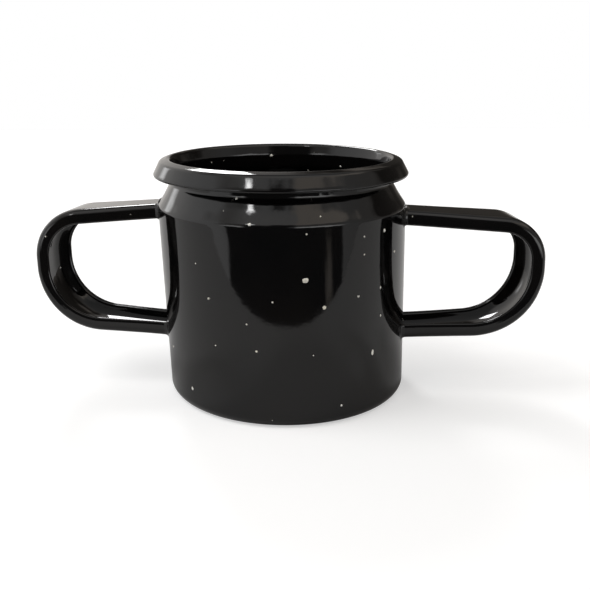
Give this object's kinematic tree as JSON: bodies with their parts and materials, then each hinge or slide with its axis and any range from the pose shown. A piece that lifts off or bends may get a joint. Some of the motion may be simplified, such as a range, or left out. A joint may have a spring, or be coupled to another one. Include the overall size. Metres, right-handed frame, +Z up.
{
  "type": "enamel mate cup",
  "caption": "Squat black enamelled steel cup with white specks, a sloping shoulder, a turned-out rim and a D-shaped strip handle on each side, for drinking mate.",
  "frame": {"origin": "centre of the base, on the surface that the cup stands on", "axes": "+Z up along the cup's axis, +X towards the right handle, so that the handles lie along X"},
  "size_m": [0.1608, 0.08, 0.0756],
  "materials": {
    "black_enamel": "gloss vitreous enamel, black with small white to cream specks"
  },
  "bodies": {
    "root": {"cup_body": "black_enamel", "left_handle": "black_enamel", "right_handle": "black_enamel", "left_upper_weld": "black_enamel", "left_lower_weld": "black_enamel", "right_upper_weld": "black_enamel", "right_lower_weld": "black_enamel"}
  },
  "joints": []
}
